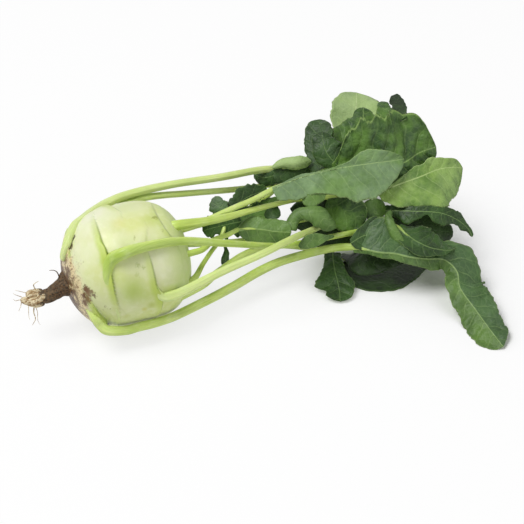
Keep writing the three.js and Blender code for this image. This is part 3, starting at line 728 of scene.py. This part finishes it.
def leaf_finish(name, dark, light, vein, rim, bloom, bloom_share, roughness=0.5, blotch=0.5):
    """Leaf skin: dark and light are the blade between its veins, vein its ribs, rim its pale margin, which is
    partly a painted highlight, and bloom the grey wax on it. A leaf is thin living tissue, dull where the wax
    lies. Its tints are the count of veins, the place from midrib to margin, and the midrib's half width in
    mm."""
    leaf, tree, coords, (veins, to_margin, rib_width) = start_skin(name)
    flat = add_node(tree, "ShaderNodeSeparateXYZ", None, {0: coords["UV"]})
    aside = add_node(tree, "ShaderNodeMath", {"operation": "ABSOLUTE"}, {0: flat.outputs["Y"]}).outputs[0]
    from_vein = add_node(tree, "ShaderNodeMath", {"operation": "PINGPONG", 1: 0.5}, {0: veins}).outputs[0]
    clouds = {}
    for kind, where, size, detail, rough in (("shades", "Object", 16, 3, 0.5), ("fields", "UV", 6, 3, 0.5),
                                             ("wax", "Object", 28, 4, 0.6)):
        clouds[kind] = add_node(tree, "ShaderNodeTexNoise",
                                {"Scale": 1 / (size * MM), "Detail": detail, "Roughness": rough},
                                {"Vector": coords[where]}).outputs["Fac"]
    # The net of fine veins, about 3 mm from one to the next.
    net = add_node(tree, "ShaderNodeTexVoronoi",
                   {"feature": "DISTANCE_TO_EDGE", "Scale": 1 / (3.4 * MM), "Randomness": 0.9},
                   {"Vector": coords["UV"]}).outputs["Distance"]
    slopes = {}
    for kind, field, low, high, bottom, top in (("wax", clouds["wax"], 0.35, 0.68, 0.25, 1),
                                                ("branch", from_vein, 0.06, 0.01, 0, 0.3),
                                                ("fade", to_margin, 1.0, 0.3, 0.35, 1),
                                                ("net", net, 0.0, 0.25, 0, 0.5)):
        slopes[kind] = add_node(tree, "ShaderNodeMapRange",
                                {"interpolation_type": "SMOOTHSTEP", "From Min": low, "From Max": high,
                                 "To Min": bottom, "To Max": top}, {"Value": field}).outputs[0]
    branch = add_node(tree, "ShaderNodeMath", {"operation": "MULTIPLY"},
                      {0: slopes["branch"], 1: slopes["fade"]}).outputs[0]
    rib = add_node(tree, "ShaderNodeMath", {"operation": "MULTIPLY_ADD", 1: MM, 2: 1e-5}, {0: rib_width})
    from_rib = add_node(tree, "ShaderNodeMath", {"operation": "DIVIDE"},
                        {0: aside, 1: rib.outputs[0]}).outputs[0]

    skin = lay_over(tree, dark, light, (clouds["shades"], 0.38, 0.62))
    skin = lay_over(tree, skin, light, (from_vein, 0.1, 0.45), (clouds["fields"], 0.45, 0.65),
                    strongest=blotch)
    skin = lay_over(tree, skin, bloom, (slopes["wax"], 0, 1), strongest=bloom_share)
    skin = lay_over(tree, skin, vein, (net, 0.10, 0.02), strongest=0.09)
    skin = lay_over(tree, skin, vein, branch)
    skin = lay_over(tree, skin, vein, (from_rib, 1.2, 0.5), strongest=0.8)
    # The pale margin: partly the leaf's own colour, partly a painted highlight along its edge.
    skin = lay_over(tree, skin, rim, (to_margin, 0.93, 0.985), strongest=0.7)
    sunk = add_node(tree, "ShaderNodeMath", {"operation": "MULTIPLY_ADD", 1: -1.0},
                    {0: branch, 2: slopes["net"]}).outputs[0]
    end_skin(tree, skin, sunk, 0.5, 0.5, {"Roughness": roughness, "IOR": 1.34})
    return leaf


# The finishes of the blades: the upper sides from fresh green to bluish under their bloom, and the paler,
# duller backs, on which the ribs stand out. The deep finishes and the shaded one are partly dark green and
# partly painted shade, for the leaves and lobes that lie deep in the sheaf or low under it. Each lists its
# dark and light green, ribs, margin and wax, then how much wax lies on it, how dull it is, and how far its
# fields are blotched; the pale margin is partly a painted highlight.
pale_back = leaf_finish("pale_leaf_back", 0x8FAA66, 0xA5BE7B, 0xC2D39A, 0xB7CB8C, 0xA9B99A, 0.3, 0.6, 0.3)
grey_top = leaf_finish("grey_green_leaf", 0x55743A, 0x6E904A, 0x9DB87A, 0x9DB876, 0x93A98E, 0.4, 0.45, 0.4)
fresh_top = leaf_finish("fresh_green_leaf", 0x56792F, 0x84A54C, 0xB4CB84, 0xB8CF8C, 0xA5BC84, 0.3, 0.42, 0.5)
mid_top = leaf_finish("mid_green_leaf", 0x415F25, 0x5B7C35, 0x93AD68, 0x94AF68, 0x6E8659, 0.25, 0.45, 0.4)
dark_top = leaf_finish("dark_green_leaf", 0x2A471A, 0x577A2E, 0x8CA963, 0x8FAB60, 0x5C7850, 0.18, 0.42, 0.6)
blue_top = leaf_finish("bluish_leaf", 0x344F26, 0x486834, 0x8BA66A, 0x92AD70, 0x5A7354, 0.3, 0.45, 0.4)
deep_shaded_top = leaf_finish("deep_green_leaf_in_shade", 0x1F3613, 0x365423, 0x728D52, 0x7F9A5C, 0x3A5433, 0.15, 0.45, 0.5)
deep_shaded_back = leaf_finish("deep_leaf_back_in_shade", 0x34501F, 0x4C6B2E, 0x88A462, 0x7F9C5A, 0x5F7B5A, 0.25, 0.55, 0.3)
painted_shade_top = leaf_finish("shaded_leaf", 0x14230C, 0x263D16, 0x4C6636, 0x466131, 0x2C4127, 0.15, 0.5, 0.4)

# This stalk's extra paleness is partly a painted highlight.
grow_stalk(1, [(-42.1, 0.7, 55.3), (-40.3, 1.3, 61.6), (-37.4, 2.8, 67), (-34.5, 6.6, 69.3),
    (-28.6, 14.4, 71.4), (-21.6, 20.4, 70.4), (-13.5, 29.7, 67.2), (-5.3, 36.1, 65.8), (1.8, 39.6, 65.4),
    (13, 42, 66), (32, 43, 66), (53, 42, 66), (83, 41, 64), (114, 43, 61), (145, 44, 55), (174, 55, 50),
    (199, 71, 50)], [2.4, 3.4, 3.6, 3.5, 3.2, 3.1, 2.9, 2.9, 2.9, 2.8, 2.8, 2.7, 2.5, 2.3, 2.2],
    into=[(206, 83, 57)], pale=0.6)
grow_blade("blade_1", [(200, 72, 50), (206, 83, 57), (210, 90, 65), (215, 101, 69)], (0.2, 0.8, -0.4),
    [14, 17, 19, 19, 18, 14, 8], [14, 17, 18, 18, 18, 17, 11], [pale_back, pale_back], bend=(0, -10),
    quilt=0.6, ruffle=2.6, rib=0.8, seed=1)
grow_blade("lobe_1a", [(121, 39, 63), (129, 36, 67), (138, 32, 68), (150, 34, 65)], (0.1, 0.6, -0.4),
    [2, 5, 7, 7, 3], [2, 6, 9, 8, 3], [pale_back, pale_back], bend=(10, 60), far_bend=(10, 80), quilt=0.4,
    seed=2)
grow_blade("lobe_1b", [(130, 37, 59), (121, 38, 57), (115, 41, 55), (111, 49, 54)], (-0.3, -0.7, 0.5),
    [4, 5, 5, 4, 2], [4, 6, 7, 5, 2], [deep_shaded_top, deep_shaded_back], bend=(0, -20), ragged=0.18, rib=0.4, seed=3)
grow_blade("lobe_1c", [(121, 35, 57), (133, 35, 58), (143, 35, 58), (152, 36, 58)], (-0.3, -0.6, 0.7),
    [4, 6, 6, 3], [3, 5, 5, 3], [deep_shaded_top, deep_shaded_back], bend=(0, -20), ragged=0.18, seed=31)


# ---- Leaf 2 ----
# The big leaf at the back: dark, with its blade puffed up between the ribs, and four lobes curled
# round it. Its stalk grows from the bulb's far side and runs beside the first leaf's.
grow_stalk(2, [(-4, 33, 54), (4, 37, 58), (13, 41, 60), (31, 42, 60), (60, 41, 56), (95, 41, 50),
    (120, 40, 48), (149, 23, 57)], [3.4, 2.6, 2.3, 2.2, 2, 1.8], into=[(162, 12, 63)], pale=0.3)
grow_blade("blade_2", [(149, 22, 60), (165, 9, 65), (184, 1, 70), (205, 0, 72), (221, 6, 73),
    (235, 7, 74)], (-0.3, -0.7, 0.6), [4, 9, 13, 16, 17, 17, 16, 13, 9], [4, 6, 11, 20, 27, 32, 38, 36,
    38, 36, 36, 36, 32, 22, 7], [dark_top, pale_back], bend=(0, -10), far_bend=(10, 10), quilt=2.0,
    ruffle=3.6, ragged=0.1, rib=1.2, vein_gap=11, seed=4)
grow_blade("lobe_2d", [(162, 16, 70), (157, 24, 77), (157, 32, 83), (159, 38, 86)], (-0.3, -0.7, 0.5),
    [9, 13, 12, 9, 6], [5, 9, 9, 8, 4], [deep_shaded_top, pale_back], bend=(0, -20), quilt=0.7, ruffle=2.0,
    ragged=0.12, rib=0.35, vein_gap=8, seed=5)
grow_blade("lobe_2a", [(151, 24, 59), (158, 42, 66), (162, 53, 73), (168, 63, 79)], (-0.5, -0.6, 0.3),
    [3, 8, 11, 12, 8], [4, 8, 9, 9, 7], [deep_shaded_top, pale_back], bend=(0, 10), quilt=0.6, ruffle=2.6,
    ragged=0.12, seed=6)
grow_blade("lobe_2b", [(211, 19, 94), (216, 32, 96), (219, 48, 97)], (-0.3, -0.7, 0.6), [5, 6, 6, 5, 3],
    [4, 5, 5, 5, 2], [painted_shade_top, pale_back], bend=(0, 40), quilt=0.8, ruffle=2.6, ragged=0.15, seed=7)
grow_blade("lobe_2c", [(200, 21, 92), (204, 33, 95), (208, 45, 96)], (-0.3, -0.7, 0.6), [4, 6, 6, 6, 3],
    [4, 5, 5, 4, 2], [dark_top, pale_back], bend=(0, 10), quilt=0.8, ruffle=2.6, ragged=0.15, seed=8)


# ---- Leaf 3 ----
# The leaf that lies on top of the sheaf: long and even, with grey bloom towards its tip and one lobe
# under it. Its stalk is short and grows from the top of the crown.
grow_stalk(3, [(34, 2, 58), (50, -1, 61), (62, 1, 62), (80, 3, 65), (93, 4, 67), (110, 7, 70)],
    [3.2, 2.4, 2.1, 2.0, 1.9], into=[(127, 6, 75)], pale=0.2)
grow_blade("blade_3", [(108, 6, 71), (129, 6, 75), (152, 2, 79), (174, -3, 81), (191, -7, 82),
    (202, -7, 81)], (-0.3, -0.6, 0.7), [8, 12, 14, 14, 14, 17, 21, 24, 26, 24, 20, 12, 2], [1, 1, 2, 2, 1,
    1, 2, 4, 8, 10, 9, 6, 1], [grey_top, pale_back], bend=(0, -10), far_bend=(25, 5), quilt=0.9,
    ruffle=2.4, rib=0.9, vein_gap=10, seed=9)
grow_blade("lobe_3a", [(128, 0, 67), (136, -4, 67), (144, -6, 66)], (-0.3, -0.7, 0.6),
    [6, 9, 10, 10, 8, 6, 4], [2, 3, 3, 2], [mid_top, pale_back], bend=(0, 10), far_bend=(0, 0), seed=10)


# ---- Leaf 4 ----
# The light green leaf that reaches furthest out, with a cupped lobe at the foot of its blade and two
# more beside it. Its stalk grows from the crown next to the third leaf's.
grow_stalk(4, [(29, -6, 68), (36, -8, 70), (56, -7, 67), (72, -4, 64), (93, 2, 60), (110, 6, 57),
    (131, 9, 54), (158, 2, 54), (180, -9, 59)], [3.8, 2.9, 2.3, 1.9, 1.8, 1.8, 1.7], out_of=[(17, -4, 79),
    (22, -7, 76.5), (27, -9, 73)], into=[(197, -12, 64)])
grow_blade("blade_4", [(181, -11, 60), (198, -12, 64), (213, -13, 67), (227, -11, 68), (239, -11, 67),
    (248, -11, 64)], (-0.2, -0.6, 0.75), [6, 12, 16, 18, 20, 22, 26, 26, 25, 22, 19, 10],
    [1, 1, 2, 4, 6, 8, 8, 10, 8, 7, 6, 2], [fresh_top, pale_back], bend=(0, -10), far_bend=(15, 0),
    quilt=1.1, ruffle=2.4, rib=0.9, vein_gap=10, seed=11)
grow_blade("lobe_4a", [(148, 3, 50), (156, -7, 50), (164, -14, 47), (169, -19, 43)], (-0.5, -0.6, 0.4),
    [8, 11, 14, 16, 14, 10], [3, 6, 9, 12, 10, 4], [dark_top, pale_back], bend=(0, 20), far_bend=(0, 30),
    quilt=0.8, ruffle=2.2, seed=12)
grow_blade("lobe_4b", [(170, -17, 46), (177, -17, 50), (187, -13, 49)], (-0.3, -0.7, 0.5),
    [7, 9, 8, 6, 4], [4, 9, 9, 6, 3], [dark_top, pale_back], bend=(0, 20), ruffle=2.0, seed=13)
grow_blade("lobe_4c", [(102, 2, 50), (107, 3, 53), (113, 6, 54)], (-0.3, -0.6, 0.6), [2, 6, 6, 2],
    [2, 4, 4, 2], [deep_shaded_top, pale_back], bend=(0, 20), quilt=0.3, ruffle=1.4, seed=14)


# ---- Leaf 5 ----
# The leaf whose stalk grows from a leaf base low on the near side and crosses the bulb in an arc. Its
# blade is rolled under along one edge, over two small lobes.
grow_stalk(5, [(-16, -27, 69.5), (-6, -30, 76), (13, -28, 75), (33, -25, 70), (62, -28, 62),
    (96, -27, 49), (118, -23, 42), (146, -20, 38), (171, -22, 38), (187, -28, 41)], [4.4, 3.2, 2.8, 2.5,
    2.2, 2.1, 2.0, 2.0, 1.9], out_of=[(-16.3, -36.3, 24.5), (-17, -38.8, 31), (-18, -39.2, 38),
    (-19.3, -37.8, 45.5), (-20.4, -35.1, 54), (-20.3, -31.5, 62)], into=[(191, -39, 41), (195, -44, 39)])
grow_blade("blade_5", [(187, -30, 42), (191, -39, 41), (197, -47, 38), (205, -53, 35), (217, -55, 31),
    (226, -51, 28)], (-0.1, -0.7, 0.7), [5, 8, 10, 10, 7, 4, 1, 1], [6, 14, 18, 19, 16, 10, 3],
    [deep_shaded_top, pale_back], bend=(0, 40), far_bend=(-35, 0), quilt=1.2, ruffle=2.6, rib=0.7, seed=15)
grow_blade("lobe_5a", [(187, -22, 51), (182, -28, 50), (181, -35, 46), (183, -41, 41), (187, -46, 36),
    (191, -51, 32)], (-0.5, -0.7, 0.4), [2, 4, 5, 5, 3, 2], [2, 4, 5, 5, 3, 2], [mid_top, deep_shaded_top],
    bend=(0, -70), quilt=0.3, ruffle=1.0, seed=16)
grow_blade("lobe_5b", [(183, -24, 39), (198, -23, 38), (214, -30, 35), (228, -41, 30)], (-0.1, -0.6, 0.8),
    [4, 8, 10, 10, 7], [3, 7, 9, 9, 6], [painted_shade_top, deep_shaded_back], bend=(0, -10), quilt=0.6, ruffle=2.0,
    seed=32)


# ---- Leaf 6 ----
# The leaf with a long narrow blade whose lower margin is ragged, and one small lobe. Its stalk grows
# from a leaf base on the bulb's near side and bends along it.
# This stalk's extra paleness is partly a painted highlight.
grow_stalk(6, [(16, -42, 41), (26, -42, 42), (39, -40, 44), (58, -38, 48), (84, -38, 54), (103, -34, 56),
    (121, -23, 50), (156, -4, 38), (185, -14, 44)], [3.3, 3.0, 2.7, 2.5, 2.4, 2.3, 2.1, 2.0, 1.9],
    out_of=[(6, -29, 68), (8.3, -34, 61.7), (8.4, -37.9, 54), (9.4, -40.5, 47), (12, -41.8, 42.3)],
    into=[(198, -25, 49)], pale=0.5)
grow_blade("blade_6", [(185, -15, 46), (200, -27, 50), (218, -36, 50), (230, -41, 44), (237, -45, 37),
    (239, -49, 32)], (-0.1, -0.6, 0.8), [3, 4, 6, 8, 8, 6, 2, 6, 8, 7, 4, 4, 4, 2, 1],
    [4, 4, 4, 4, 5, 6, 3, 2], [deep_shaded_top, pale_back], bend=(0, -20), far_bend=(0, 0), quilt=0.8,
    ruffle=2.4, ragged=0.2, rib=0.6, seed=17)
grow_blade("lobe_6a", [(114, -29, 45), (124, -30, 47), (131, -33, 50), (140, -31, 48)], (-0.3, -0.8, 0.5),
    [2, 4, 4, 2, 1], [1, 5, 5, 2, 1], [mid_top, pale_back], quilt=0.4, seed=18)


# ---- Leaf 7 ----
# A short young leaf from the middle of the crown, folded along its midrib, with an arched lobe where
# its stalk ends.
grow_stalk(7, [(35, -19, 53), (41, -20, 54), (49, -19, 54), (60, -10, 52), (71, -7, 51), (80, -3, 50)],
    [2.4, 2.0, 1.8, 1.6], into=[(87, -6, 51), (95, -10, 51)])
grow_blade("blade_7", [(79, -4, 50), (87, -6, 51), (95, -10, 51), (103, -14, 50), (113, -19, 50)],
    (0, -0.3, 0.9), [3, 10, 10, 10, 8, 4], [2, 7, 9, 8, 9, 8, 7], [mid_top, pale_back], bend=(-50, 0),
    far_bend=(20, 0), quilt=0.7, ruffle=2.0, rib=0.8, seed=19)
# Its back is painted shade under the arch.
grow_blade("lobe_7a", [(112, -16, 50), (116, -12, 55), (121, -10, 59), (127, -13, 61), (133, -18, 60),
    (138, -23, 56), (143, -26, 50)], (-0.3, -0.3, 0.8), [6, 6, 7, 7, 8, 9, 8, 5],
    [5, 5, 5, 6, 7, 7, 6, 4], [mid_top, painted_shade_top], bend=(0, -60), quilt=0.6, seed=20)


# ---- Leaf 8 ----
# A ragged young leaf, whose thin blade is torn into small lobes, the lowest of which hang from its
# stalk. It grows from the near side of the crown.
grow_stalk(8, [(32, -24, 37), (39, -27, 37), (50, -15, 38), (60, -5, 39), (68, 2, 40), (73, 8, 43),
    (77, 14, 47)], [2.6, 1.9, 1.6, 1.5, 1.4], into=[(87, 21, 52), (92, 22, 53)])
grow_blade("blade_8", [(77, 15, 47), (87, 21, 52), (99, 24, 55), (112, 24, 57)], (-0.3, -0.7, 0.5),
    [2, 4, 5, 6, 5, 3], [4, 4, 5, 6, 8, 10, 8, 5, 3], [deep_shaded_top, deep_shaded_back], quilt=0.7, ruffle=2.4,
    ragged=0.34, rib=0.4, seed=21)
grow_blade("lobe_8c", [(78, 16, 50), (75, 23, 53), (75, 30, 57)], (-0.3, -0.7, 0.5), [3, 5, 6, 4, 2],
    [3, 6, 7, 5, 3], [blue_top, deep_shaded_back], ragged=0.3, seed=22)
grow_blade("lobe_8a", [(86, 7, 48), (75, 10, 46), (59, 13, 43)], (0.3, -0.7, 0.5), [4, 6, 6, 8, 6, 7, 4],
    [5, 9, 6, 10, 5, 7, 3], [deep_shaded_top, deep_shaded_back], quilt=0.6, ruffle=2.4, ragged=0.4, rib=0.4, seed=23)
grow_blade("lobe_8d", [(86, 14, 42), (97, 17, 44), (109, 20, 46), (120, 22, 48)], (-0.3, -0.6, 0.7),
    [5, 8, 7, 9, 5, 3], [4, 6, 5, 7, 4, 3], [dark_top, deep_shaded_back], ruffle=2.2, ragged=0.4, seed=33)
grow_blade("lobe_8b", [(70, 2, 39), (70, -5, 36), (68, -10, 33), (66, -15, 30)], (-0.3, -0.8, 0.4),
    [1, 1, 2, 3, 2], [1, 1, 2, 2, 1], [deep_shaded_top, deep_shaded_back], quilt=0.4, ruffle=1.6, ragged=0.2, rib=0.3,
    seed=24)


# ---- Leaf 9 ----
# A leaf from low on the crown. Its blade lies flat on the table under the others, dark in their shade,
# with two lobes at its foot, one of which is folded over the blade.
grow_stalk(9, [(24, -31, 28), (39, -28, 29), (47, -27, 31), (56, -22, 32), (67, -17, 33), (79, -12, 34),
    (92, -8, 33), (107, -3, 28), (128, 0, 18), (145, -1, 10), (160, -6, 3)],
    [3.6, 2.6, 2.3, 2.2, 2.0, 2.0], into=[(173, -19, 0)], pale=0.2)
grow_blade("blade_9", [(162, -5, 0), (175, -21, 0), (194, -21, 0), (219, -13, 0), (240, -5, 0)],
    (0, 0, 1), [8, 20, 26, 24, 20, 21, 11, 3], [8, 20, 30, 34, 30, 20, 6], [painted_shade_top, pale_back],
    quilt=0.7, ruffle=0.8, ragged=0.04, rib=0.6, seed=25)
grow_blade("lobe_9a", [(151, -6, 11), (148, -14, 10), (145, -25, 8), (143, -36, 4), (139, -48, 2)],
    (-0.1, -0.2, 1), [6, 6, 7, 8, 11, 16, 16, 10, 11, 9], [6, 6, 7, 8, 10, 12, 10, 8],
    [deep_shaded_top, pale_back], bend=(0, 10), quilt=0.9, ruffle=2.6, ragged=0.1, rib=0.6, seed=26)
grow_blade("lobe_9b", [(156, -5, 5), (164, -25, 13), (181, -31, 14), (199, -34, 13)], (0, -0.5, 0.9),
    [1, 2, 8, 10, 8, 5, 2], [4, 8, 8, 6, 2], [painted_shade_top, painted_shade_top], bend=(0, -20), far_bend=(0, 0),
    quilt=0.6, seed=27)


# ---- Leaf 10 ----
# The leaf whose stalk starts by the root and runs along the bulb's lower side. Its blade droops to the table:
# it is bluish above, with painted light making the near half of its top a lighter green, and pale below.
grow_stalk(10, [(-33, -24, 34), (-31, -32, 29), (-29, -34, 24), (-25, -37, 20), (-13, -38, 17),
    (-4, -39, 18), (10, -39, 18), (27, -36, 18), (63, -25, 18), (92, -16, 20), (111, -15, 23),
    (139, -20, 28), (154, -28, 32)], [3.6, 3.3, 3.1, 3.1, 3.2, 3.2, 3.2, 3.1, 2.9, 2.6],
    out_of=[(-40, -17, 42), (-37, -22, 39)], into=[(162, -37, 34), (166, -41, 35)], pale=0.15)
# The third finish, on the near half of the top, is lighter: painted light on the half that faces the lamp.
grow_blade("blade_10", [(155, -30, 32), (162, -37, 34), (169, -44, 35), (179, -48, 34), (188, -53, 32),
    (201, -55, 28), (214, -56, 24), (219, -66, 20), (216, -78, 15), (219, -94, 9), (221, -114, 5),
    (223, -129, 2)], (-0.2, -0.7, 0.7), [3, 3, 4, 5, 6, 8, 7, 9, 10, 12, 14, 14, 10], [10, 22, 24, 18, 8,
    6, 7, 11, 18, 17, 18, 17, 16, 14, 12, 10, 3], [blue_top, pale_back, mid_top], bend=(-12, 5),
    far_bend=(-10, 0), quilt=1.3, ruffle=2.8, ragged=0.1, rib=0.9, vein_gap=10, seed=28)
grow_blade("lobe_10b", [(153, -30, 37), (164, -28, 39), (175, -30, 39), (184, -39, 38), (190, -49, 36)],
    (-0.2, -0.7, 0.7), [4, 14, 16, 16, 14, 8], [2, 5, 8, 12, 8, 5, 2, 1], [deep_shaded_top, deep_shaded_back],
    bend=(0, 15), far_bend=(0, 10), quilt=0.9, ruffle=2.0, rib=0.4, vein_gap=6, seed=36)
grow_blade("lobe_10a", [(136, -10, 24), (149, -11, 25), (161, -12, 26), (171, -15, 27)],
    (-0.3, -0.6, 0.7), [3, 5, 6, 5, 3], [3, 6, 7, 6, 3], [painted_shade_top, deep_shaded_back], quilt=0.4, ruffle=1.6,
    seed=34)


# ---- Leaf 11 ----
# A leaf at the back of the sheaf, which shows only between the others. It is plain and dark, and its
# stalk grows from the crown's far side.
grow_stalk(11, [(39, 11, 52), (63, 15, 48), (101, 25, 44), (132, 42, 46)], [3.2, 2.2, 2.0, 1.9],
    into=[(149, 40, 51)])
grow_blade("blade_11", [(133, 41, 47), (157, 39, 54), (183, 51, 63), (200, 59, 70), (208, 73, 74)],
    (-0.3, -0.7, 0.6), [5, 12, 18, 18, 15, 12, 5], [4, 10, 14, 15, 12, 11, 5], [dark_top, pale_back],
    bend=(0, -20), quilt=0.8, ruffle=2.4, rib=0.7, seed=29)


# ---- Leaf 12 ----
# A leaf in the middle of the sheaf, which shows only between the others, with one lobe. It is the darkest,
# painted in shade, and its stalk grows from the middle of the crown.
grow_stalk(12, [(38, -5, 52), (56, -4, 46), (78, -3, 40), (101, 0, 36), (123, 9, 34)],
    [3.2, 2.2, 2.0, 1.9], into=[(141, 7, 34)])
grow_blade("lobe_12a", [(124, 2, 45), (136, 6, 47), (149, 5, 48), (163, 0, 48)], (-0.3, -0.6, 0.7),
    [4, 8, 9, 9, 6], [7, 8, 9, 8, 5], [painted_shade_top, deep_shaded_back], seed=35)
grow_blade("blade_12", [(126, 10, 34), (142, 7, 34), (155, 1, 34), (165, -7, 34)], (-0.3, -0.6, 0.7),
    [3, 10, 14, 15, 12, 4], [3, 8, 12, 12, 8, 4], [painted_shade_top, pale_back], quilt=0.8, ruffle=2.2, rib=0.5,
    seed=30)
